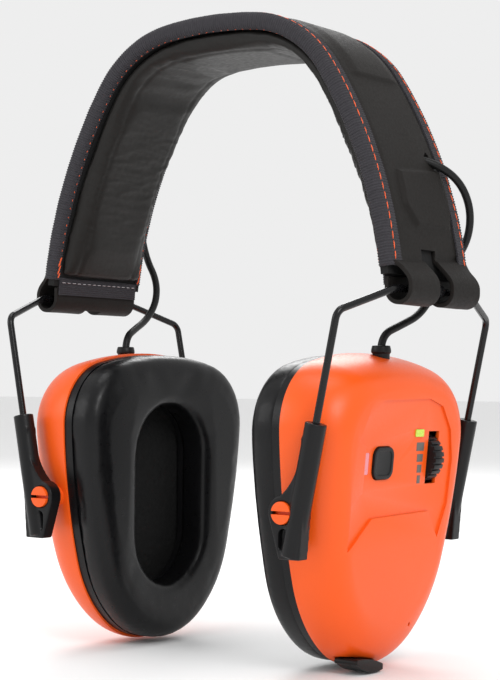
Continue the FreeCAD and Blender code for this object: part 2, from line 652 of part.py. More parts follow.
def port_outline(room):
    """Lens that the rubber cover fills; with room it is the opening, which takes the round hinge edge too."""
    front = PORT_FRONT - room - (size("port_bead") / 2 if room else 0.0)
    rear = PORT_REAR + room
    end_low, middle_low = (3.0, 3.0) if room else (0.3, 1.3)
    low = [(front, port_edge(PORT_FRONT) - end_low), (rear, port_edge(PORT_REAR) - end_low)]
    high = [(rear, port_edge(PORT_REAR) + 1.5 + room), (front, port_edge(PORT_FRONT) + 1.5 + room)]
    low_middle = Vector(PORT_MIDDLE, port_edge(PORT_MIDDLE) - middle_low, 0)
    high_middle = Vector(PORT_MIDDLE, port_edge(PORT_MIDDLE) + 3.0 + room, 0)
    return [Part.Arc(Vector(*low[0], 0), low_middle, Vector(*low[1], 0)),
            Part.LineSegment(Vector(*low[1], 0), Vector(*high[0], 0)),
            Part.Arc(Vector(*high[0], 0), high_middle, Vector(*high[1], 0)),
            Part.LineSegment(Vector(*high[1], 0), Vector(*low[0], 0))]


def plate(name, role, start, length, shapes, tilt=0.0):
    """One padded outline as a body of its own."""
    body = new_body(name)
    pad(body, fix(sketch_on(body, f"{name}_outline", role, start, tilt), shapes), length)
    return body


def ring_plate(name, start, length, outer, opening):
    body = plate(name, "YZ_Plane", start, length, outer)
    hole = fix(sketch_on(body, f"{name}_opening", "YZ_Plane", start), opening)
    pocket(body, hole, length, backwards=True)
    return body


def ear_opening(room):
    return rounded(0.0, -0.4, size("ear_width") + 2 * room, size("ear_height") + 2 * room,
                   size("ear_width") / 2 + room)


def make_cushion():
    """Soft ring: foam inside a smooth cover with a flat sealing face."""
    form = ring_plate("cushion_form", "cushion_face", "seam_x - seal_depth - cushion_face - 0.05",
                      egg(0.99), ear_opening(0))
    front = size("cushion_face")
    fillet(form, size("cushion_round"), lambda p: abs(p.x - front) < 0.01 and hypot(p.y, p.z) > 36)
    foam = ring_plate("cushion_foam", "cushion_face + 0.8", "seam_x - seal_depth - cushion_face - 1.4",
                      egg(0.97), ear_opening(0.8))
    fillet(foam, size("cushion_round"), lambda p: abs(p.x - front - 0.8) < 0.01 and hypot(p.y, p.z) > 36)
    both_sides(foam, "cushion_foam")
    both_sides(boolean("Cut", "cushion_cover", form, foam), "cushion_cover")


def turned(name, points, base, direction):
    """Turned piece: a half profile of (radius, height) about its own axis."""
    body = new_body(name)
    sketch = fix(sketch_on(body, f"{name}_profile", "XZ_Plane"), lines(points))
    revolve(body, sketch)
    body.Placement = Placement(Vector(*base), Rotation(Vector(0, 0, 1), Vector(*direction)))
    doc.recompute()
    return body


def make_cup_pieces():
    start = "seam_x - seal_depth"
    both_sides(ring_plate("seal_ring", start, "seal_depth - 0.02", egg(0.985), egg(0.985, 4.0)), "seal_ring")
    both_sides(ring_plate("baffle", "seam_x - 2.2", "2", egg(0.985, 4.1), ear_opening(0.6)), "baffle")
    make_cushion()
    both_sides(plate("acoustic_foam", "YZ_Plane", "48.5", "4", egg(0.8)), "acoustic_foam")
    r = size("speaker_dia") / 2
    both_sides(turned("speaker", [(0, 0), (r, 0), (r, 1.2), (r - 5, 1.9), (0, 1.9)],
                      (52.7, -4.0, -12.0), (1, 0, 0)), "speaker")
    bore = size("cable_dia") / 2 + 0.05
    stem = size("gland_dia") / 2
    profile = [(bore, -4.8), (stem, -4.8), (stem, -0.2), (stem + 0.45, 0.1), (stem + 0.45, 1.0),
               (stem + 0.1, 2.5), (stem - 0.5, 2.5), (bore, 0.5)]
    both_sides(turned("cable_gland", profile, (GLAND_X, 0, size("egg_top")), (0, 0, 1)), "cable_gland")
    both_sides(turned("microphone", [(0, 0), (3, 0), (3, 2.7), (0, 2.7)],
                      (size("board_x"), MIC[0], MIC[1] + 3.0), (1, 0, 0)), "microphone")
    keep(make_shell("right_cup_shell", True), "right_shell")
    mirrored(make_shell("plain_cup_shell", False), "left_shell")


# ---------------------------------------------------------------- controls of the right cup
def make_controls():
    stem = new_body("power_button")
    w, high = size("button_width"), size("button_height")
    pad(stem, fix(on_face(stem, "button_cap", -2.3), rounded(*BUTTON, w, high, 3.1)), "2.2")
    pad(stem, fix(on_face(stem, "button_flange", -3.3), rounded(*BUTTON, w + 2.4, high + 2.4, 3.1)), "1")
    dish = fix(on_face(stem, "button_dish", -0.1), rounded(*BUTTON, w - 2.6, high - 2.6, 2.0))
    pocket(stem, dish, "0.3")
    keep(stem, "power_button")
    for name, outline, length in (("led_window", rounded(*WINDOW, 2.5, 7.1, 0.5), "1.9"),
                                  ("indicator_led", rounded(*LAMP, 5.2, 2.5, 0.4), "2.3")):
        lens = new_body(name)
        pad(lens, fix(on_face(lens, f"{name}_outline", -2.9), outline), length)
        keep(lens, name)
    board = plate("circuit_board", "YZ_Plane", "board_x", "board_thick", rounded(-9.0, 3.0, 36.0, 50.0, 3.0))
    keep(board, "circuit_board")
    keep(plate("power_switch", "YZ_Plane", "board_x + board_thick", "5.2", rounded(*BUTTON, 6.0, 6.0, 0.5)),
         "power_switch")
    wheel_x = size("wheel_x")
    pot = plate("volume_pot", "XZ_Plane", "-14.2", "4.4", rounded(wheel_x - 1.2, SLOT_Z, 7.0, 10.0, 0.8))
    shaft = circle(sketch_on(pot, "pot_shaft", "XZ_Plane", "-20.4"), wheel_x, SLOT_Z, "1.5", 1.5)
    pad(pot, shaft, "6.2")
    keep(pot, "volume_pot")
    wheel = new_body("volume_wheel")
    radius = size("wheel_dia") / 2
    face = f"-( {SLOT} + wheel_width / 2 )"
    pad(wheel, circle(sketch_on(wheel, "wheel_disc", "XZ_Plane", face), 0, 0, "wheel_dia / 2", radius),
        "wheel_width")
    bore = circle(sketch_on(wheel, "wheel_bore", "XZ_Plane", face), 0, 0, "1.55", 1.55)
    pocket(wheel, bore, "wheel_width", backwards=True)
    notch = fix(sketch_on(wheel, "wheel_notch", "XZ_Plane", face),
                lines([(radius - 0.7, -0.25), (radius + 1, -0.55), (radius + 1, 0.55), (radius - 0.7, 0.25)]))
    cut = pocket(wheel, notch, "wheel_width", backwards=True)
    pattern = wheel.newObject("PartDesign::PolarPattern", "wheel_grip")
    pattern.Originals = [cut]
    pattern.Axis = (notch, ["N_Axis"])
    pattern.Angle = 360
    pattern.Occurrences = 24
    wheel.Tip = pattern
    wheel.Placement = Placement(Vector(wheel_x, 0, SLOT_Z), Rotation())
    doc.recompute()
    keep(wheel, "volume_wheel")
    port = rounded(PORT_MIDDLE, CUP_LOW + 15.347, 9.0, 4.8, 1.0)
    keep(plate("charging_port", "YZ_Plane", "52.8", "5", port), "charging_port")
    cover = plate("port_cover", "YZ_Plane", "50.5", "9", port_outline(0))
    bead = circle(sketch_on(cover, "cover_bead", "YZ_Plane", "50.5"), *PORT_HINGE, "port_bead / 2",
                  size("port_bead") / 2)
    pad(cover, bead, "9")
    keep(cover, "port_cover")
    battery = doc.addObject("Part::Box", "left_battery")
    battery.Length, battery.Width, battery.Height = 6.0, 36.0, 44.0
    battery.Placement = Placement(Vector(-61.5, -18.0, -18.0), Rotation())
    keep(battery, "left_battery")


# ---------------------------------------------------------------- leads between cups and band
def make_leads():
    inside, inwards = lead_end(1)
    outside = inside - inwards * 6.2
    points = [(57.0, 0.0, 47.0), (57.0, 0.0, 57.3), (59.6, 8.6, 61.0), (61.5, 17.0, 64.5),
              (62.5, 24.0, 71.5), (66.0, 28.5, 80.5), (73.0, 30.0, 90.0), (75.0, 29.0, 101.0),
              (73.8, 23.5, 110.5), tuple(outside), tuple(inside)]
    lead = tube("lead", points, size("cable_dia"))
    both_sides(lead, "lead")


make_band()
make_end_tape()
make_clip()
make_wire_frame()
make_arms()
make_cup_pieces()
make_controls()
make_leads()
doc.recompute()

# ---------------------------------------------------------------- check and write
for obj in doc.Objects:
    if "Invalid" in obj.State or "Error" in obj.State:
        raise RuntimeError(f"{obj.Name} failed: {obj.State}")
os.makedirs("parts", exist_ok=True)
labels = [obj.Label for obj in PARTS]
if len(set(labels)) != len(labels):
    raise RuntimeError("two sub-parts share a name")
for obj in PARTS:
    shape = obj.Shape
    if shape.isNull() or not shape.isValid() or len(shape.Solids) != 1:
        raise RuntimeError(f"{obj.Label} isn't one valid solid: {len(shape.Solids)}")
    shape.exportStep(f"parts/{obj.Label}.step")
    box = shape.BoundBox
    print(f"{obj.Label:18s} {shape.Volume:9.0f} mm3  x {box.XMin:7.1f} {box.XMax:7.1f}"
          f"  y {box.YMin:6.1f} {box.YMax:6.1f}  z {box.ZMin:6.1f} {box.ZMax:6.1f}")
print(len(PARTS), "sub-parts")
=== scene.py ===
"""Earmuff hearing protector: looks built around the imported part."""
import json
from math import atan2, cos, exp, hypot, pi, radians, sin

import bpy
from bpy.props import FloatProperty, FloatVectorProperty, IntProperty, PointerProperty
from mathutils import Matrix, Vector, noise


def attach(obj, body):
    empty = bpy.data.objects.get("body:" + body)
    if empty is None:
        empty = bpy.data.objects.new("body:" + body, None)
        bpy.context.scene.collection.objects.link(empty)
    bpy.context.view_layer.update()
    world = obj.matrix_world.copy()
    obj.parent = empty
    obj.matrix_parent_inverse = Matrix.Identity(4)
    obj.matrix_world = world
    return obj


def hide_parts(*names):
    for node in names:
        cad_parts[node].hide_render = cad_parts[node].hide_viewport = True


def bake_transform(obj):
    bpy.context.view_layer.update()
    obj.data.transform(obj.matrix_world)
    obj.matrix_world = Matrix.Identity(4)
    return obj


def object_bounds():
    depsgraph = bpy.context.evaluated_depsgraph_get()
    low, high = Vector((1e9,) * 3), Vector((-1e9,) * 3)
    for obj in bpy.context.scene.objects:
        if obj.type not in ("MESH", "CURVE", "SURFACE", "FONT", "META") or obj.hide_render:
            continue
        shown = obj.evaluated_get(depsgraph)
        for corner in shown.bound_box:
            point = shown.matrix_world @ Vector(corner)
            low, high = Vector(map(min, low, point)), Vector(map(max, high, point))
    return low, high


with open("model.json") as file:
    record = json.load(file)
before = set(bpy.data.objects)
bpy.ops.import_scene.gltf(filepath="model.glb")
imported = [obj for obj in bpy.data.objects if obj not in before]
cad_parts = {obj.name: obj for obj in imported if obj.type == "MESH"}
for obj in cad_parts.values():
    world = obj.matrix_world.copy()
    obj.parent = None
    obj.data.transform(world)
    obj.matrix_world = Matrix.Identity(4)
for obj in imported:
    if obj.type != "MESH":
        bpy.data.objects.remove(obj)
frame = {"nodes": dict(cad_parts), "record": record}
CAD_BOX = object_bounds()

bl_info = {
    "name": "Earmuff Hearing Protector",
    "version": (1, 0, 0),
    "blender": (4, 5, 0),
    "location": "View3D > Sidebar > Earmuff",
    "description": "Builds the fabrics, mouldings and cables of an earmuff around its packed part",
    "category": "Object",
}

MM = 0.001
NODES = frame["nodes"]
SIDES = (("right", 1), ("left", -1))

# ---------------------------------------------------------------- band geometry, in millimetres
ARC_RADII = (156.6, 44.5, 162.7)                 # crown, shoulder, side
ARC_ENDS = (radians(7.15), radians(56.6), radians(83.5))
BAND_TOP = 168.7
BINDING_THICK, COVER_THICK, LAYERS = 0.7, 1.5, 5.7
TAPE_END = 131.8                                  # arc length from the crown to the edge tape's end
HINGE = Vector((77.3, 71.6))
LOOP_RADIUS = 5.2
FLARE_START = 127.0                               # where the cover starts to swing out to the hinge
FACE_X, FACE_TILT = 65.9, radians(5.5)


def arc_centres():
    centres = [Vector((0.0, BAND_TOP - ARC_RADII[0]))]
    for i in range(2):
        step = ARC_RADII[i] - ARC_RADII[i + 1]
        centres.append(centres[-1] + Vector((sin(ARC_ENDS[i]), cos(ARC_ENDS[i]))) * step)
    return centres


CENTRES = arc_centres()


def on_arch(s, depth):
    """Point and outward normal (x, z) at an arc length from the crown; the left half has s < 0."""
    left, rest, start = s < 0, abs(s), 0.0
    for i, (radius, end) in enumerate(zip(ARC_RADII, ARC_ENDS)):
        length = radius * (end - start)
        if rest <= length or i == 2:
            angle = start + rest / radius
            break
        rest, start = rest - length, end
    normal = Vector((sin(angle), cos(angle)))
    point = CENTRES[i] + normal * (radius - depth)
    return (Vector((-point.x, point.y)), Vector((-normal.x, normal.y))) if left else (point, normal)


def cover_path():
    """Right half of the cover's outer line as close points: arch, flare, turn round the hinge, inner ply."""
    line = [on_arch(i * FLARE_START / 150, BINDING_THICK)[0] for i in range(151)]
    start, normal = on_arch(FLARE_START, BINDING_THICK)
    down = Vector((normal.y, -normal.x))
    end = HINGE + Vector((LOOP_RADIUS, 1.4))
    a, b, c, d = start, start + down * 3.8, end + Vector((-0.1, 4.6)), end
    for i in range(1, 31):
        t = i / 30
        line.append(a * (1 - t) ** 3 + b * 3 * t * (1 - t) ** 2 + c * 3 * t * t * (1 - t) + d * t ** 3)
    for i in range(25):
        turn = pi * i / 24
        line.append(HINGE + Vector((cos(turn), -sin(turn))) * LOOP_RADIUS)
    line += [HINGE + Vector((-LOOP_RADIUS, 0.5 * i)) for i in range(1, 9)]
    return line


COVER_LINE = cover_path()
COVER_RUN = [0.0]
for near, far in zip(COVER_LINE, COVER_LINE[1:]):
    COVER_RUN.append(COVER_RUN[-1] + (far - near).length)
COVER_LENGTH = COVER_RUN[-1]


def on_cover(run):
    """Point and outward normal of the cover's line at a run from the crown; the left half is negative."""
    left, rest = run < 0, min(abs(run), COVER_LENGTH - 1e-6)
    low, high = 0, len(COVER_RUN) - 1
    while high - low > 1:
        middle = (low + high) // 2
        low, high = (middle, high) if COVER_RUN[middle] <= rest else (low, middle)
    share = (rest - COVER_RUN[low]) / (COVER_RUN[high] - COVER_RUN[low])
    point = COVER_LINE[low].lerp(COVER_LINE[high], share)
    back, ahead = COVER_LINE[max(0, low - 1)], COVER_LINE[min(len(COVER_LINE) - 1, high + 1)]
    along = (ahead - back).normalized()
    normal = Vector((-along.y, along.x))
    return (Vector((-point.x, point.y)), Vector((-normal.x, normal.y))) if left else (point, normal)


def smooth(value, low, high):
    t = min(1.0, max(0.0, (value - low) / (high - low)))
    return t * t * (3 - 2 * t)


def ripple(x, y, z, scale):
    """Soft noise between about -1 and 1 at a size in millimetres."""
    return noise.noise(Vector((x, y, z)) / scale)


def depth_inside(polygon, x, y):
    """Distance to a convex outline, positive inside."""
    nearest = 1e9
    for (ax, ay), (bx, by) in zip(polygon, polygon[1:] + polygon[:1]):
        ex, ey = bx - ax, by - ay
        nearest = min(nearest, (ex * (y - ay) - ey * (x - ax)) / hypot(ex, ey))
    return nearest


# ---------------------------------------------------------------- user settings
class EarmuffSizes(bpy.types.PropertyGroup):
    emboss: FloatProperty(name="Embossing", description="Height of the pressed pads on the cover",
                          default=1.15 * MM, unit="LENGTH")
    rib_pitch: FloatProperty(name="Rib pitch", description="Spacing of the ribs of the edge tape",
                             default=0.95 * MM, unit="LENGTH")
    rib_height: FloatProperty(name="Rib height", description="Height of one rib of the edge tape",
                              default=0.16 * MM, unit="LENGTH")
    stitch_pitch: FloatProperty(name="Stitch pitch", description="Spacing of the orange stitches",
                                default=3.3 * MM, unit="LENGTH")
    stitch_length: FloatProperty(name="Stitch length", description="Length of one orange stitch",
                                 default=3.0 * MM, unit="LENGTH")
    pressure: FloatProperty(name="Padding pressure", description="How hard the padded pieces are blown up",
                            default=4.0)
    frames: IntProperty(name="Padding frames", description="Steps of the padding simulation", default=20)
    lead: FloatProperty(name="Lead diameter", description="Thickness of the cup leads",
                        default=2.7 * MM, unit="LENGTH")


class EarmuffColours(bpy.types.PropertyGroup):
    pass


COLOURS = {
    "shell": ("Cup shells", (0.82, 0.095, 0.006)),
    "plastic": ("Black mouldings", (0.006, 0.006, 0.0065)),
    "cover": ("Band cover", (0.0125, 0.011, 0.010)),
    "tape": ("Edge tape", (0.036, 0.034, 0.039)),
    "thread": ("Stitching", (0.82, 0.115, 0.028)),
    "grey_thread": ("Tape stitching", (0.42, 0.40, 0.42)),
    "lining": ("Band lining", (0.013, 0.012, 0.011)),
    "cushion": ("Ear cushions", (0.0045, 0.0045, 0.005)),
    "window": ("Sensor window", (0.72, 0.25, 0.28)),
    "lens": ("Lamp lens", (0.52, 0.68, 0.07)),
    "marks": ("Volume marks", (0.13, 0.115, 0.105)),
}
for key, (label, colour) in COLOURS.items():
    EarmuffColours.__annotations__[key] = FloatVectorProperty(
        name=label, description=f"Colour of: {label.lower()}", subtype="COLOR", size=3, default=colour,
        min=0.0, max=1.0)


def sizes():
    return bpy.context.scene.earmuff_sizes


def colour(key):
    return tuple(getattr(bpy.context.scene.earmuff_colours, key))


# ---------------------------------------------------------------- modelling helpers
def only(obj):
    """Select one object and nothing else."""
    bpy.ops.object.select_all(action="DESELECT")
    obj.select_set(True)
    bpy.context.view_layer.objects.active = obj


def grid(name, across, along, place, flat=None):
    """Grid whose vertices are placed by place(u, v) in millimetres, u and v from 0 to 1."""
    bpy.ops.object.select_all(action="DESELECT")
    bpy.ops.mesh.primitive_grid_add(x_subdivisions=across, y_subdivisions=along, size=1.0)
    obj = bpy.context.object
    obj.name = name
    spots = [(v.co.x + 0.5, v.co.y + 0.5) for v in obj.data.vertices]
    for vertex, (u, v) in zip(obj.data.vertices, spots):
        vertex.co = Vector(place(u, v)) * MM
    if flat:
        layer = obj.data.uv_layers.active
        for loop in obj.data.loops:
            u, v = spots[loop.vertex_index]
            layer.data[loop.index].uv = (u * flat[0] * MM, v * flat[1] * MM)
    obj.data.update()
    return obj


def facing(obj, spot, direction):
    """Turn all faces round if the one nearest to the spot looks away from the direction."""
    spot = Vector(spot) * MM
    face = min(obj.data.polygons, key=lambda p: (p.center - spot).length)
    if face.normal.dot(Vector(direction)) < 0:
        only(obj)
        bpy.ops.object.mode_set(mode="EDIT")
        bpy.ops.mesh.select_all(action="SELECT")
        bpy.ops.mesh.flip_normals()
        bpy.ops.object.mode_set(mode="OBJECT")
    return obj


def welded(obj, distance=0.00001):
    only(obj)
    bpy.ops.object.mode_set(mode="EDIT")
    bpy.ops.mesh.select_all(action="SELECT")
    bpy.ops.mesh.remove_doubles(threshold=distance)
    bpy.ops.mesh.normals_make_consistent(inside=False)
    bpy.ops.object.mode_set(mode="OBJECT")
    return obj


def drop_faces(obj, test):
    """Delete the faces whose middle, in millimetres, passes the test."""
    only(obj)
    bpy.ops.object.mode_set(mode="EDIT")
    bpy.ops.mesh.select_mode(type="FACE")
    bpy.ops.mesh.select_all(action="DESELECT")
    bpy.ops.object.mode_set(mode="OBJECT")
    for face in obj.data.polygons:
        face.select = test(face.center / MM)
    bpy.ops.object.mode_set(mode="EDIT")
    bpy.ops.mesh.delete(type="FACE")
    bpy.ops.object.mode_set(mode="OBJECT")
    return obj


def apply(obj, kind, **settings):
    modifier = obj.modifiers.new(kind.title(), kind)
    for key, value in settings.items():
        setattr(modifier, key, value)
    only(obj)
    bpy.ops.object.modifier_apply(modifier=modifier.name)
    return obj


def shaded(obj, angle=40):
    only(obj)
    bpy.ops.object.shade_smooth_by_angle(angle=radians(angle))
    return obj


def joined(objects, name):
    bpy.ops.object.select_all(action="DESELECT")
    for obj in objects:
        obj.select_set(True)
    bpy.context.view_layer.objects.active = objects[0]
    bpy.ops.object.join()
    obj = bpy.context.object
    obj.name = name
    return obj


def mirrored(obj, name):
    """Copy on the other side of the middle plane, with its own mesh and faces turned outwards."""
    twin = bpy.data.objects.new(name, obj.data.copy())
    bpy.context.collection.objects.link(twin)
    twin.data.transform(Matrix.Scale(-1, 4, Vector((1, 0, 0))))
    twin.data.flip_normals()
    return twin


def softened(node, name, width, segments=3, angle=32):
    """Copy of a CAD node, welded, with its hard edges rounded."""
    obj = bpy.data.objects.new(name, NODES[node].data.copy())
    bpy.context.collection.objects.link(obj)
    obj.data.materials.clear()
    only(obj)
    bpy.ops.object.mode_set(mode="EDIT")
    bpy.ops.mesh.select_all(action="SELECT")
    bpy.ops.mesh.remove_doubles(threshold=0.00001)
    bpy.ops.mesh.dissolve_limited(angle_limit=radians(0.6))
    bpy.ops.object.mode_set(mode="OBJECT")
    if obj.data.has_custom_normals:
        bpy.ops.mesh.customdata_custom_splitnormals_clear()
    apply(obj, "BEVEL", width=width * MM, segments=segments, limit_method="ANGLE",
          angle_limit=radians(angle), use_clamp_overlap=True)
    return shaded(obj, 35)


def tube_along(name, points, radius, sides=20):
    """Round tube on close points, in metres, closed at both ends."""
    count = len(points)
    tangents = [(points[min(i + 1, count - 1)] - points[max(i - 1, 0)]).normalized() for i in range(count)]
    across = tangents[0].orthogonal().normalized()
    rings = []
    for point, tangent in zip(points, tangents):
        across = (across - tangent * across.dot(tangent)).normalized()
        other = tangent.cross(across)
        rings.append([point + (across * cos(2 * pi * k / sides) + other * sin(2 * pi * k / sides)) * radius
                      for k in range(sides)])
    verts = [v for ring in rings for v in ring]
    faces = [(i * sides + k, i * sides + (k + 1) % sides, (i + 1) * sides + (k + 1) % sides,
              (i + 1) * sides + k) for i in range(count - 1) for k in range(sides)]
    faces += [tuple(range(sides))[::-1], tuple((count - 1) * sides + k for k in range(sides))]
    mesh = bpy.data.meshes.new(name)
    mesh.from_pydata(verts, [], faces)
    obj = bpy.data.objects.new(name, mesh)
    bpy.context.collection.objects.link(obj)
    return shaded(welded(obj), 50)


def blown_up(obj, cap, voxel=2.2):
    """Cloth simulation of the padding, with each point's travel capped, then one subdivision."""
    apply(obj, "REMESH", mode="VOXEL", voxel_size=voxel * MM)
    start = [v.co.copy() for v in obj.data.vertices]
    cloth = obj.modifiers.new("Cloth", "CLOTH")
    cloth.settings.use_pressure = True
    cloth.settings.uniform_pressure_force = sizes().pressure
    cloth.settings.effector_weights.gravity = 0
    scene = bpy.context.scene
    for number in range(1, sizes().frames + 1):
        scene.frame_set(number)
    only(obj)
    bpy.ops.object.modifier_apply(modifier=cloth.name)
    scene.frame_set(1)
    for vertex, rest in zip(obj.data.vertices, start):
        step = vertex.co - rest
        if step.length > cap * MM:
            vertex.co = rest + step.normalized() * cap * MM
    apply(obj, "SMOOTH", factor=0.5, iterations=3)
    apply(obj, "SUBSURF", levels=1, render_levels=1)
    return obj


# ---------------------------------------------------------------- materials
def material(name, tone, rough, drift=0.12, patch=9.0, grain=0.25, grain_size=0.25, bump=0.05, metallic=0.0,
             gloss=0.22, sheen=0.0, coat=0.0, cells=False, creases=0.0, weave=None):
    """Colour that drifts in soft patches, uneven gloss and a fine grain, all on object coordinates."""
    found = bpy.data.materials.get(name)
    if found:
        return found
    mat = bpy.data.materials.new(name)
    mat.use_nodes = True
    nodes, links = mat.node_tree.nodes, mat.node_tree.links
    shader = nodes["Principled BSDF"]
    shader.inputs["Metallic"].default_value = metallic
    shader.inputs["Specular IOR Level"].default_value = gloss
    shader.inputs["Sheen Weight"].default_value = sheen
    shader.inputs["Coat Weight"].default_value = coat
    coords = nodes.new("ShaderNodeTexCoord").outputs["Object"]

    def noise_at(size, detail=3.0):
        node = nodes.new("ShaderNodeTexNoise")
        node.inputs["Scale"].default_value = 1 / (size * MM)
        node.inputs["Detail"].default_value = detail
        links.new(coords, node.inputs["Vector"])
        return node.outputs["Fac"]

    def mapped(source, low, high):
        node = nodes.new("ShaderNodeMapRange")
        node.inputs["From Min"].default_value, node.inputs["From Max"].default_value = 0.3, 0.7
        node.inputs["To Min"].default_value, node.inputs["To Max"].default_value = low, high
        links.new(source, node.inputs["Value"])
        return node.outputs["Result"]

    mix = nodes.new("ShaderNodeMix")
    mix.data_type = "RGBA"
    mix.inputs["A"].default_value = tuple(c * (1 - drift) for c in tone) + (1,)
    mix.inputs["B"].default_value = tuple(min(1, c * (1 + drift)) for c in tone) + (1,)
    links.new(noise_at(patch), mix.inputs["Factor"])
    links.new(mix.outputs["Result"], shader.inputs["Base Color"])
    links.new(mapped(noise_at(grain_size * 3), rough - 0.06, rough + 0.06), shader.inputs["Roughness"])

    height = noise_at(grain_size, 2.0)
    if cells:
        voronoi = nodes.new("ShaderNodeTexVoronoi")
        voronoi.feature = "SMOOTH_F1"
        voronoi.inputs["Scale"].default_value = 1 / (grain_size * 2.2 * MM)
        links.new(coords, voronoi.inputs["Vector"])
        height = voronoi.outputs["Distance"]
    if weave:
        uv = nodes.new("ShaderNodeUVMap").outputs["UV"]
        total = None
        for direction in ("X", "Y"):
            wave = nodes.new("ShaderNodeTexWave")
            wave.bands_direction = direction
            wave.inputs["Scale"].default_value = 1 / (weave * MM * 2 * pi) * 2
            links.new(uv, wave.inputs["Vector"])
            if total is None:
                total = wave.outputs["Fac"]
            else:
                add = nodes.new("ShaderNodeMath")
                links.new(total, add.inputs[0])
                links.new(wave.outputs["Fac"], add.inputs[1])
                total = add.outputs["Value"]
        height = total
    tilt = nodes.new("ShaderNodeBump")
    tilt.inputs["Strength"].default_value = grain
    tilt.inputs["Distance"].default_value = bump * MM
    links.new(height, tilt.inputs["Height"])
    normal = tilt.outputs["Normal"]
    if creases:
        wide = nodes.new("ShaderNodeBump")
        wide.inputs["Strength"].default_value = creases
        wide.inputs["Distance"].default_value = 0.5 * MM
        links.new(noise_at(5.0, 4.0), wide.inputs["Height"])
        links.new(normal, wide.inputs["Normal"])
        normal = wide.outputs["Normal"]
    links.new(normal, shader.inputs["Normal"])
    return mat


def finishes():
    """The material of every slot in the record, made once."""
    black = colour("plastic")
    return {
        "band_fabric": material("Cover fabric", colour("cover"), 0.62, 0.07, 14,
                                0.35, 0.3, 0.05, gloss=0.14, sheen=0.0,
                                weave=0.34),
        "band_foam": material("Closed-cell foam", (0.012, 0.012, 0.012), 0.9, grain_size=0.5, cells=True),
        "spring_steel": material("Spring steel", (0.42, 0.42, 0.43), 0.35, 0.06, metallic=1.0),
        "lining": material("Soft lining", colour("lining"), 0.47, 0.10, 11,
                           0.35, 0.55, 0.07, gloss=0.2, sheen=0.0,
                           cells=True),
        "binding": material("Ribbed tape", colour("tape"), 0.78, 0.22, 1.4,
                            0.8, 0.18, 0.10, gloss=0.2, sheen=0.04),
        "black_steel": material("Blackened steel", (0.004, 0.004, 0.0045), 0.26, 0.2, gloss=0.3),
        "arm_plastic": material("Satin arm moulding", (0.006, 0.006, 0.0065), 0.34, 0.12, 12,
                                0.25, 0.20, 0.02),
        "orange_shell": material("Orange shell moulding", colour("shell"), 0.36, 0.035, 22, 0.22, 0.22, 0.014,
                                 gloss=0.35),
        "seal": material("Seal ring", (0.004, 0.004, 0.0045), 0.32, 0.1),
        "black_plastic": material("Black moulding", black, 0.42, 0.12, 10, 0.3, 0.2, 0.02),
        "cushion": material("Cushion skin", colour("cushion"), 0.33, 0.12, 15, 0.3, 0.5, 0.035, cells=True),
        "liner_foam": material("Open-cell foam", (0.008, 0.008, 0.008), 0.95, 0.4, 1.2, 1.0, 0.8, 0.5,
                               cells=True),
        "speaker": material("Speaker frame", (0.03, 0.03, 0.03), 0.5),
        "rubber": material("Black rubber", (0.007, 0.007, 0.007), 0.42, 0.12, 8, 0.3, 0.25, 0.03),
        "metal_can": material("Component can", (0.6, 0.6, 0.62), 0.3, 0.05, metallic=1.0),
        "window": material("Sensor window", colour("window"), 0.3, 0.05, coat=0.2),
        "green_lens": material("Lamp lens", colour("lens"), 0.28, 0.06, coat=0.3),
        "board": material("Solder mask", (0.02, 0.18, 0.06), 0.35),
        "cell": material("Cell foil", (0.5, 0.5, 0.52), 0.4, metallic=0.8),
    }


def dressed(obj, slot, body, nodes=(), look=None):
    """Give a finished piece its material, chosen by slot unless a look is given, attach it to its body and
    hide the CAD nodes that it stands for.
    """
    obj.data.materials.clear()
    obj.data.materials.append(look or finishes()[slot])
    if nodes:
        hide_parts(*nodes)
    if body:
        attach(obj, body)
    return obj


class EarmuffOperator:
    """Shared settings of the build steps."""
    bl_options = {"REGISTER", "UNDO"}


class EARMUFF_OT_finishes(EarmuffOperator, bpy.types.Operator):
    """Give every carried-over piece of the part its own finish"""
    bl_idname = "earmuff.finishes"
    bl_label = "Finishes"

    def execute(self, context):
        looks = finishes()
        for row in frame["record"]["subparts"]:
            node = NODES[row["node"]]
            node.data.materials.clear()
            node.data.materials.append(looks[row["material_slot"]])
        return {"FINISHED"}


# ---------------------------------------------------------------- headband
PRESSED_PAD = [(97.7, -9.8), (94.9, 22.4), (116.6, 15.4), (116.9, -5.6), (109.8, -11.1)]
SLOT_HALF, COVER_HALF, LOOP_HALF = 4.4, 24.1, 22.0
SLOT_START, SLOT_INNER_X = 124.6, 74.2             # top of the slot, and how far in it cuts the loop
LEAD_HOLE_RUN, LEAD_HOLE_Y, LEAD_HOLE_RADIUS = 91.2, 13.2, 1.7


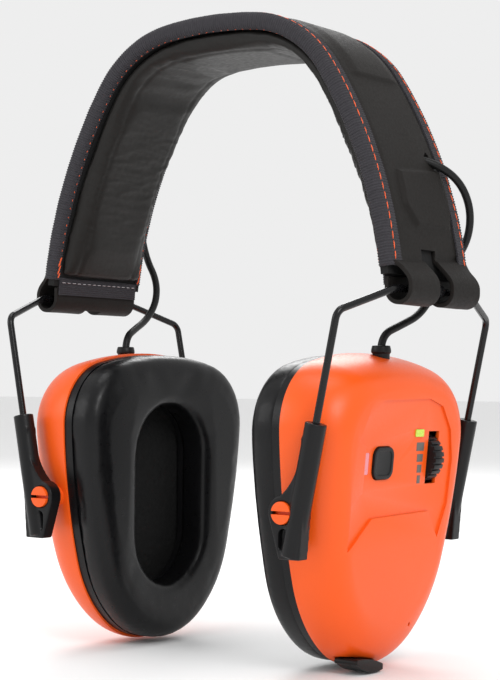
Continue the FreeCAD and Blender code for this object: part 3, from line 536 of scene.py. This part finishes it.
class EARMUFF_OT_cover(EarmuffOperator, bpy.types.Operator):
    """Make the fabric cover: pressed pads, crease, and both ends folded round the hinge wires"""
    bl_idname = "earmuff.cover"
    bl_label = "Band cover"

    def execute(self, context):
        height = sizes().emboss / MM
        along, across = 520, 76
        slot_rows = 14                            # rows of the grid that lie over the slot

        def lateral(v, run):
            """Distance across the band: the middle rows keep their place, the outer ones narrow."""
            half = COVER_HALF + (LOOP_HALF - COVER_HALF) * smooth(abs(run), 127.0, 133.0)
            row = v * across - across / 2
            if abs(row) <= slot_rows / 2:
                return SLOT_HALF * row / (slot_rows / 2)
            share = (abs(row) - slot_rows / 2) / (across / 2 - slot_rows / 2)
            return (SLOT_HALF + (half - SLOT_HALF) * share) * (1 if row > 0 else -1)

        def place(u, v):
            run = (2 * u - 1) * COVER_LENGTH
            y = lateral(v, run)
            point, normal = on_cover(run)
            reach = abs(run)
            edge = 1 - smooth(abs(y), 15.5, 19.5)
            rise = 0.55 * edge * (1 - smooth(reach, 112, 126))
            # long pressed panel over the crown, crisp at its lower edge
            panel = (1 - smooth(reach + 0.035 * y, 60.2, 61.6)) * (1 - smooth(abs(y - 1), 10, 17))
            rise += height * 0.8 * panel
            inside = depth_inside(PRESSED_PAD[::-1], reach, y)
            inside = max(inside, depth_inside(PRESSED_PAD, reach, y))
            rise += height * smooth(inside, -0.5, 0.9) * (1 - smooth(y, 17.8, 19.4))
            # crease where the folded end starts
            crease = reach - (127.6 - 0.06 * y)
            rise -= 0.7 * exp(-(crease / 0.8) ** 2)
            rise += 0.18 * ripple(run, y, 3.0, 17) * edge
            return point.x + normal.x * rise, y, point.y + normal.y * rise

        flat = (2 * COVER_LENGTH, 2 * COVER_HALF)
        obj = grid("band_cover", along, across, place, flat)
        facing(obj, (0, 0, BAND_TOP), (0, 0, 1))

        def in_slot(centre):
            if abs(centre.y) > SLOT_HALF:
                return False
            point, _ = on_cover(SLOT_START)
            return abs(centre.x) > SLOT_INNER_X and centre.z < point.y

        drop_faces(obj, in_slot)

        def in_hole(centre):
            spot, _ = on_arch(LEAD_HOLE_RUN, BINDING_THICK)
            mirrored_centre = Vector((abs(centre.x), centre.y, centre.z))
            return (mirrored_centre - Vector((spot.x, LEAD_HOLE_Y, spot.y))).length < LEAD_HOLE_RADIUS

        drop_faces(obj, in_hole)
        apply(obj, "SOLIDIFY", thickness=COVER_THICK * MM * 0.9, offset=-1.0, use_even_offset=True)
        apply(obj, "BEVEL", width=0.35 * MM, segments=2, limit_method="ANGLE", angle_limit=radians(50))
        shaded(obj, 45)
        dressed(obj, "band_fabric", "headband", ["outer_cover"])
        return {"FINISHED"}


def tape_profile(share):
    """Edge tape's section: (distance across, depth) from the outer lap's edge to the inner lap's."""
    corner = 2.0
    runs = (4.5, pi / 2 * corner, LAYERS - 2 * corner, pi / 2 * corner, 1.2)
    place = share * sum(runs)
    if place < runs[0]:
        return 18.5 + place, 0.0
    place -= runs[0]
    if place < runs[1]:
        turn = place / corner
        return 23.0 + corner * sin(turn), corner - corner * cos(turn)
    place -= runs[1]
    if place < runs[2]:
        return 25.0, corner + place
    place -= runs[2]
    if place < runs[3]:
        turn = place / corner
        return 23.0 + corner * cos(turn), LAYERS - corner + corner * sin(turn)
    return 23.0 - (place - runs[3]), LAYERS


TAPE_WIDTH = 4.5 + pi * 2.0 + (LAYERS - 4.0) + 1.2


class EARMUFF_OT_edge_tapes(EarmuffOperator, bpy.types.Operator):
    """Fold a ribbed tape round the front and rear edge of the band"""
    bl_idname = "earmuff.edge_tapes"
    bl_label = "Edge tapes"

    def execute(self, context):
        pitch, height = sizes().rib_pitch / MM, sizes().rib_height / MM
        along, across = 1240, 18
        for name, side in (("front", -1), ("rear", 1)):

            def place(u, v):
                s = (2 * u - 1) * TAPE_END
                y, depth = tape_profile(v)
                inner = tape_profile(min(1, v + 0.02))
                outer = tape_profile(max(0, v - 0.02))
                slope = Vector((inner[0] - outer[0], inner[1] - outer[1])).normalized()
                lift = height * cos(2 * pi * (s + 0.25 * ripple(s, y, side, 9)) / pitch)
                lift += 0.10 * ripple(s, 8 * v, side * 5, 6)
                wander = 0.22 * ripple(s, side * 40, 0, 14) * (1 - smooth(v, 0.0, 0.35))
                y, depth = y - wander - slope.y * -lift, depth - slope.x * lift
                point, _ = on_arch(s, depth)
                return point.x, side * y, point.y

            flat = (2 * TAPE_END, TAPE_WIDTH)
            obj = grid(f"{name}_edge_tape", along, across, place, flat)
            facing(obj, (0, side * 20, BAND_TOP), (0, 0, 1))
            apply(obj, "SOLIDIFY", thickness=0.6 * MM, offset=-1.0)
            shaded(obj, 60)
            dressed(obj, "binding", "headband", [f"{name}_binding"])
        return {"FINISHED"}


def stitch(length, radius, place, along, up):
    """One thread stitch: a short rounded bead, lying along a direction."""
    bpy.ops.mesh.primitive_uv_sphere_add(segments=8, ring_count=6, radius=1.0)
    obj = bpy.context.object
    along = Vector(along).normalized()
    up = Vector(up).normalized()
    side = up.cross(along)
    turn = Matrix((along * length / 2, side * radius, up * radius)).transposed()
    obj.data.transform(turn.to_4x4())
    obj.data.transform(Matrix.Translation(Vector(place)))
    obj.data.transform(Matrix.Scale(MM, 4))
    return obj


class EARMUFF_OT_stitching(EarmuffOperator, bpy.types.Operator):
    """Sew the orange lines along the edge tapes"""
    bl_idname = "earmuff.stitching"
    bl_label = "Stitching"

    def execute(self, context):
        thread = material("Orange thread", colour("thread"), 0.6, 0.18, 1.2, 0.6, 0.12, 0.06, sheen=0.2)
        pitch, length = sizes().stitch_pitch / MM, sizes().stitch_length / MM
        count = int(2 * (TAPE_END - 3) / pitch)
        for name, side in (("front", -1), ("rear", 1)):
            beads = []
            for i in range(count + 1):
                s = -TAPE_END + 3 + i * pitch
                y = 22.1 + 0.22 * ripple(s, side * 12, 1, 15)
                point, normal = on_arch(s, -0.02)
                ahead, _ = on_arch(s + 0.5, -0.02)
                run = ahead - point
                beads.append(stitch(length, 0.23, (point.x, side * y, point.y),
                                    (run.x, 0.05 * side, run.y), (normal.x, 0, normal.y)))
                # the under side shows only the loops of the seam
                point, normal = on_arch(s + pitch / 2, LAYERS + 0.02)
                beads.append(stitch(0.8, 0.15, (point.x, side * 22.7, point.y), (run.x, 0, run.y),
                                    (normal.x, 0, normal.y)))
            for end in (-1, 1):
                for i in range(5):
                    point, normal = on_arch(end * (TAPE_END - 1.6 - 1.5 * i), LAYERS + 0.02)
                    beads.append(stitch(2.4, 0.28, (point.x, side * (22.6 + 0.35 * (i % 2)), point.y),
                                        (-normal.y * end, 0.35, normal.x * end), (normal.x, 0, normal.y)))
            obj = shaded(joined(beads, f"{name}_stitching"))
            dressed(obj, "binding", "headband", look=thread)
        return {"FINISHED"}


class EARMUFF_OT_end_tapes(EarmuffOperator, bpy.types.Operator):
    """Sew a tape across the inside of each end of the band"""
    bl_idname = "earmuff.end_tapes"
    bl_label = "End tapes"

    def execute(self, context):
        grey = material("Grey thread", colour("grey_thread"), 0.65, 0.1, 1.2, 0.6, 0.12, 0.05)
        pitch, height = sizes().rib_pitch / MM, sizes().rib_height / MM

        def lean(z):
            return -0.075 * (z - 75.0)

        for name, side in SIDES:
            def place(u, v):
                y = (2 * u - 1) * 21.4
                z = 72.9 + 6.0 * v + 0.25 * ripple(y, side * 9, 0, 14)
                x = 71.15 + lean(z) - height * 0.8 * cos(2 * pi * z / (pitch * 0.8))
                x += 0.12 * ripple(y, z, side * 3, 5)
                return side * x, y, z

            obj = grid(f"{name}_end_tape", 90, 40, place, (42.8, 6.0))
            facing(obj, (side * 71, 0, 76), (-side, 0, 0))
            apply(obj, "SOLIDIFY", thickness=0.6 * MM, offset=-1.0)
            shaded(obj, 60)
            dressed(obj, "binding", "headband", [f"{name}_end_binding"])
            beads = [stitch(2.1, 0.17, (side * (71.0 + lean(77.4)), -19.6 + 2.8 * i, 77.4),
                            (0, 1, 0.02), (-side, 0, 0)) for i in range(15)]
            dressed(shaded(joined(beads, f"{name}_end_stitching")), "binding", "headband", look=grey)
        return {"FINISHED"}


class EARMUFF_OT_lining(EarmuffOperator, bpy.types.Operator):
    """Make the padded lining under the band, with its side wall and creases"""
    bl_idname = "earmuff.lining"
    bl_label = "Band lining"

    def execute(self, context):
        end, top, bottom, half = 131.0, 5.15, 10.6, 21.2

        def place(u, v):
            s = (2 * u - 1) * end
            turn = 2 * pi * v
            power = 0.42
            y = half * abs(cos(turn)) ** power * (1 if cos(turn) > 0 else -1)
            share = abs(sin(turn)) ** 0.55 * (1 if sin(turn) > 0 else -1)
            taper = 1 - 0.25 * smooth(abs(s), 122, 130)
            depth = (top + bottom) / 2 + share * (bottom - top) / 2 * taper
            point, _ = on_arch(s, depth)
            return point.x, y, point.y

        obj = welded(grid("band_lining", 230, 48, place))
        only(obj)
        bpy.ops.object.mode_set(mode="EDIT")
        bpy.ops.mesh.select_all(action="SELECT")
        bpy.ops.mesh.fill_holes(sides=0)
        bpy.ops.mesh.normals_make_consistent(inside=False)
        bpy.ops.object.mode_set(mode="OBJECT")
        blown_up(obj, cap=1.5, voxel=1.6)
        obj.data.update()
        # folds pressed into the skin after it is filled
        normals = [v.normal.copy() for v in obj.data.vertices]
        for vertex, normal in zip(obj.data.vertices, normals):
            p = vertex.co / MM
            inward = -(normal.x * p.x + normal.z * (p.z - 60)) / max(1.0, hypot(p.x, p.z - 60))
            if inward < 0.2:
                continue
            turn = atan2(abs(p.x), p.z - 60)
            crossing = turn * 95
            bend = exp(-((crossing - 72) / 26) ** 2) + 0.45 * exp(-((crossing - 138) / 16) ** 2)
            fold = ripple(crossing * 2.6, p.y * 0.55, p.x * 0.02, 7.5)
            fine = ripple(crossing * 3.0, p.y * 1.2, 4, 2.6)
            seam = exp(-((abs(p.y) - 15.2) / 0.9) ** 2)
            drop = 0.75 * bend * abs(fold) ** 0.7 + 0.16 * bend * fine + 0.3 * seam
            drop += 0.22 * ripple(p.x, p.y, p.z, 16)
            vertex.co -= normal * drop * MM
        obj.data.update()
        shaded(obj, 60)
        dressed(obj, "lining", "headband", ["inner_pad_cover", "inner_pad_foam"])
        return {"FINISHED"}


# ---------------------------------------------------------------- cups
EGG_RADII = (116.8, 22.8, 202.2, 46.2)
EGG_ANGLES = [radians(a) for a in (0.0, 13.3, 92.3, 106.3, 142.8, 180.0)]
EGG_TOP, EGG_MIDDLE = 51.3, 4.0


def egg_arcs():
    y, z, found = 0.0, EGG_TOP, []
    for radius, a, b in zip(EGG_RADII, EGG_ANGLES, EGG_ANGLES[1:]):
        centre = Vector((y - radius * sin(a), z - radius * cos(a)))
        found.append((centre, radius))
        y, z = centre.x + radius * sin(b), centre.y + radius * cos(b)
    closing = y / sin(EGG_ANGLES[4])
    found.append((Vector((0.0, z - closing * cos(EGG_ANGLES[4]))), closing))
    return found


ARCS = egg_arcs()
EGG_LENGTHS = [r * (b - a) for (_, r), a, b in zip(ARCS, EGG_ANGLES, EGG_ANGLES[1:])]
EGG_HALF = sum(EGG_LENGTHS)


def on_egg(share, scale=1.0, inset=0.0):
    """Point (y, z) on the cup's outline; share runs from 0 to 1 from the top round by +Y."""
    share %= 1.0
    left = share > 0.5
    rest = (1 - share if left else share) * 2 * EGG_HALF
    for i, length in enumerate(EGG_LENGTHS):
        if rest <= length or i == 4:
            break
        rest -= length
    centre, radius = ARCS[i]
    angle = EGG_ANGLES[i] + rest / radius
    y = (centre.x + (radius - inset) * sin(angle)) * scale
    z = EGG_MIDDLE + (centre.y + (radius - inset) * cos(angle) - EGG_MIDDLE) * scale
    return (-y if left else y), z


EAR_HALF_WIDTH, EAR_HALF_HEIGHT, EAR_MIDDLE = 19.0, 33.0, -0.4
SKIN_FACE, SKIN_BACK = 32.4, 43.5                  # sealing face, and where the skin meets the cup's ring


def on_opening(share):
    """Point (y, z) on the straight-sided ear opening; share runs from 0 to 1 from the top round by +Y."""
    share %= 1.0
    left = share > 0.5
    radius, straight = EAR_HALF_WIDTH, EAR_HALF_HEIGHT - EAR_HALF_WIDTH
    arc = pi / 2 * radius
    rest = (1 - share if left else share) * 4 * (arc + straight)
    if rest < arc:
        y, z = radius * sin(rest / radius), straight + radius * cos(rest / radius)
    elif rest < arc + 2 * straight:
        y, z = radius, straight - (rest - arc)
    else:
        angle = (rest - 2 * straight) / radius
        y, z = radius * sin(angle), radius * cos(angle) - straight
    return (-y if left else y), EAR_MIDDLE + z


def ring_section(v, width, depth):
    """Point (across, deep) round the cushion's section: small inner edge, full outer edge, flat back."""
    spots = []
    for right, back, radius, start in ((0, 0, 2.4, pi), (1, 0, 5.8, 1.5 * pi), (1, 1, 1.0, 0.0),
                                       (0, 1, 1.0, 0.5 * pi)):
        middle = Vector((width - radius if right else radius, depth - radius if back else radius))
        for i in range(9):
            angle = start + pi / 2 * i / 8
            spots.append(middle + Vector((cos(angle), sin(angle))) * radius)
    place = (v % 1.0) * len(spots)
    return spots[int(place)].lerp(spots[(int(place) + 1) % len(spots)], place - int(place))


def skin_ring(name, outer_scale, face, back):
    """Padded ring between the cup's outline and the ear opening."""
    around, section = 180, 72

    def place(u, v):
        outer, inner = Vector(on_egg(u, outer_scale)), Vector(on_opening(u))
        across, deep = ring_section(v, (outer - inner).length, back - face)
        spot = inner.lerp(outer, across / (outer - inner).length)
        return face + deep, spot.x, spot.y

    return welded(grid(name, around, section, place))


class EARMUFF_OT_cushions(EarmuffOperator, bpy.types.Operator):
    """Make both padded ear cushions"""
    bl_idname = "earmuff.cushions"
    bl_label = "Ear cushions"

    def execute(self, context):
        obj = skin_ring("right_cushion", 0.985, 33.0, 45.4)
        blown_up(obj, cap=0.7, voxel=1.5)
        for vertex in obj.data.vertices:
            # flat where it meets the cup's ring, and never past the sealing face
            vertex.co.x = min(max(vertex.co.x, SKIN_FACE * MM), SKIN_BACK * MM)
        shaded(obj, 60)
        twin = mirrored(obj, "left_cushion")
        for name, piece in (("right", obj), ("left", twin)):
            dressed(piece, "cushion", f"{name}_cup", [f"{name}_cushion_cover", f"{name}_cushion_foam"])
        return {"FINISHED"}


class EARMUFF_OT_shells(EarmuffOperator, bpy.types.Operator):
    """Make both orange cup shells with softened edges"""
    bl_idname = "earmuff.shells"
    bl_label = "Cup shells"

    def execute(self, context):
        for name, _ in SIDES:
            obj = softened(f"{name}_shell", f"{name}_cup_shell", 0.32)
            dressed(obj, "orange_shell", f"{name}_cup", [f"{name}_shell"])
        return {"FINISHED"}


class EARMUFF_OT_arms(EarmuffOperator, bpy.types.Operator):
    """Make the four cup arms"""
    bl_idname = "earmuff.arms"
    bl_label = "Cup arms"

    def execute(self, context):
        for name, _ in SIDES:
            for place in ("front", "rear"):
                obj = softened(f"{name}_{place}_arm", f"{name}_{place}_cup_arm", 0.6)
                apply(obj, "REMESH", mode="VOXEL", voxel_size=0.32 * MM)
                apply(obj, "SMOOTH", factor=0.5, iterations=6)
                shaded(obj, 60)
                dressed(obj, "arm_plastic", f"{name}_yoke", [f"{name}_{place}_arm"])
        return {"FINISHED"}


def on_face(y, w, lift=0.0):
    """Point on the right cup's tilted face: y, height along the face, and lift off it."""
    return (FACE_X + w * sin(FACE_TILT) + lift * cos(FACE_TILT), y,
            w * cos(FACE_TILT) - lift * sin(FACE_TILT))


VOLUME_MARKS = ((7.1, 11.9, 18.4, 21.3), (7.9, 11.6, 14.7, 17.3), (8.5, 11.3, 11.0, 13.7),
                (9.0, 11.0, 7.35, 10.1))


class EARMUFF_OT_controls(EarmuffOperator, bpy.types.Operator):
    """Make the button, wheel, volume marks, port cover and cable glands"""
    bl_idname = "earmuff.controls"
    bl_label = "Controls"

    def execute(self, context):
        dressed(softened("power_button", "round_button", 0.55, 4), "black_plastic", "power_button",
                ["power_button"])
        dressed(softened("volume_wheel", "knurled_wheel", 0.12, 2), "black_plastic", "volume_wheel",
                ["volume_wheel"])
        dressed(softened("port_cover", "rubber_port_cover", 0.7, 4), "rubber", "port_cover", ["port_cover"])
        for name, _ in SIDES:
            dressed(softened(f"{name}_cable_gland", f"{name}_gland", 0.25), "rubber", f"{name}_cup",
                    [f"{name}_cable_gland"])
        plates = []
        for left, right, low, high in VOLUME_MARKS:
            bpy.ops.mesh.primitive_cube_add(size=1.0)
            plate = bpy.context.object
            for vertex in plate.data.vertices:
                y = left if vertex.co.y < 0 else right
                w = low if vertex.co.z < 0 else high
                lift = -0.9 + (0.07 if vertex.co.x > 0 else -0.1)
                vertex.co = Vector(on_face(y, w, lift)) * MM
            apply(plate, "BEVEL", width=0.03 * MM, segments=2)
            plates.append(plate)
        marks = joined(plates, "volume_marks")
        grey = material("Printed grey", colour("marks"), 0.5, 0.06)
        dressed(shaded(marks), "black_plastic", "right_cup", look=grey)
        return {"FINISHED"}


# ---------------------------------------------------------------- leads
LEAD_ROUTE = [(57.0, 0.0, 51.9), (57.0, 0.0, 57.3), (59.6, 8.6, 61.0), (61.5, 17.0, 64.5),
              (62.5, 24.0, 71.5), (66.0, 28.5, 80.5), (73.0, 30.0, 90.0), (75.0, 29.0, 101.0),
              (73.8, 23.5, 110.5), (69.62, 14.99, 116.0), (64.43, 12.0, 117.6)]


class EARMUFF_OT_leads(EarmuffOperator, bpy.types.Operator):
    """Run a lead from each cup's gland up into the band"""
    bl_idname = "earmuff.leads"
    bl_label = "Leads"

    def execute(self, context):
        for name, side in SIDES:
            curve = bpy.data.curves.new(f"{name}_route", "CURVE")
            curve.dimensions = "3D"
            curve.resolution_u = 16
            spline = curve.splines.new("NURBS")
            spline.points.add(len(LEAD_ROUTE) - 1)
            for point, (x, y, z) in zip(spline.points, LEAD_ROUTE):
                point.co = (side * x * MM, y * MM, z * MM, 1)
            spline.order_u = 3
            spline.use_endpoint_u = True
            holder = bpy.data.objects.new(f"{name}_route", curve)
            bpy.context.collection.objects.link(holder)
            bpy.context.view_layer.update()
            line = bpy.data.meshes.new_from_object(holder)
            path = [v.co.copy() for v in line.vertices]
            bpy.data.objects.remove(holder)
            bpy.data.meshes.remove(line)
            obj = tube_along(f"{name}_cup_lead", path, sizes().lead / 2)
            dressed(obj, "rubber", None, [f"{name}_lead"])
            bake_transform(obj)
        return {"FINISHED"}


# ---------------------------------------------------------------- stage
EYE = Vector((0.36217, -0.48072, 0.04105))
VIEW_RIGHT, VIEW_UP = Vector((0.80015, 0.59971, 0.01033)), Vector((0.01080, -0.03162, 0.99944))
VIEW_AHEAD = Vector((-0.59970, 0.79959, 0.03178))


class EARMUFF_OT_stage(EarmuffOperator, bpy.types.Operator):
    """Set up the floor, the lights and the camera"""
    bl_idname = "earmuff.stage"
    bl_label = "Stage"

    def execute(self, context):
        scene = context.scene
        bpy.ops.mesh.primitive_circle_add(vertices=96, radius=9.0, fill_type="NGON",
                                          location=(0, 0, CAD_BOX[0][2] - 0.0004))
        floor_disc = bpy.context.object
        floor_disc.name = "studio_floor"
        pale = bpy.data.materials.new("Pale floor")
        pale.use_nodes = True
        shader = pale.node_tree.nodes["Principled BSDF"]
        shader.inputs["Base Color"].default_value = (0.86, 0.86, 0.86, 1)
        shader.inputs["Roughness"].default_value = 0.8
        floor_disc.data.materials.append(pale)
        world = bpy.data.worlds.new("Studio")
        scene.world = world
        world.use_nodes = True
        background = world.node_tree.nodes["Background"]
        background.inputs["Color"].default_value = (0.95, 0.95, 0.95, 1)
        background.inputs["Strength"].default_value = 0.9
        scene.view_settings.view_transform = "Standard"
        for name, place, size, power in (("key", (0.95, -0.60, 0.80), 0.6, 7.0),
                                         ("fill", (-0.70, -0.80, 0.45), 0.6, 2.0),
                                         ("rim", (-0.55, 0.75, 0.75), 0.6, 5.0),
                                         ("top", (-0.10, -0.05, 1.25), 0.8, 4.0)):
            light = bpy.data.lights.new(name, "AREA")
            light.shape = "DISK"
            light.size = size
            light.energy = power
            lamp = bpy.data.objects.new(name, light)
            lamp.location = place
            aim = Vector((0, 0, 0.06)) - Vector(place)
            lamp.rotation_euler = aim.to_track_quat("-Z", "Y").to_euler()
            context.collection.objects.link(lamp)
        data = bpy.data.cameras.new("view")
        data.sensor_width = 36.0
        data.lens = 89.10
        data.shift_y = -0.0169
        data.clip_start = 0.01
        data.clip_end = 40.0
        camera = bpy.data.objects.new("view", data)
        turn = Matrix((VIEW_RIGHT, VIEW_UP, -VIEW_AHEAD)).transposed().to_4x4()
        camera.matrix_world = Matrix.Translation(EYE) @ turn
        context.collection.objects.link(camera)
        scene.camera = camera
        return {"FINISHED"}


# ---------------------------------------------------------------- add-on
STEPS = (EARMUFF_OT_stage, EARMUFF_OT_leads, EARMUFF_OT_finishes, EARMUFF_OT_stitching,
         EARMUFF_OT_edge_tapes, EARMUFF_OT_end_tapes, EARMUFF_OT_cover, EARMUFF_OT_lining,
         EARMUFF_OT_cushions, EARMUFF_OT_shells, EARMUFF_OT_arms, EARMUFF_OT_controls)


class EARMUFF_PT_build(bpy.types.Panel):
    """Lists the build steps and settings"""
    bl_idname = "EARMUFF_PT_build"
    bl_label = "Earmuff"
    bl_space_type = "VIEW_3D"
    bl_region_type = "UI"
    bl_category = "Earmuff"

    def draw(self, context):
        for step in STEPS:
            self.layout.operator(step.bl_idname)
        for group in (context.scene.earmuff_sizes, context.scene.earmuff_colours):
            for key in group.__annotations__:
                self.layout.prop(group, key)


CLASSES = (EarmuffSizes, EarmuffColours) + STEPS + (EARMUFF_PT_build,)


def register():
    for cls in CLASSES:
        bpy.utils.register_class(cls)
    bpy.types.Scene.earmuff_sizes = PointerProperty(type=EarmuffSizes)
    bpy.types.Scene.earmuff_colours = PointerProperty(type=EarmuffColours)


def unregister():
    del bpy.types.Scene.earmuff_colours
    del bpy.types.Scene.earmuff_sizes
    for cls in reversed(CLASSES):
        bpy.utils.unregister_class(cls)


def main():
    register()
    for step in STEPS:
        group, name = step.bl_idname.split(".")
        getattr(getattr(bpy.ops, group), name)()


if __name__ == "__main__":
    main()
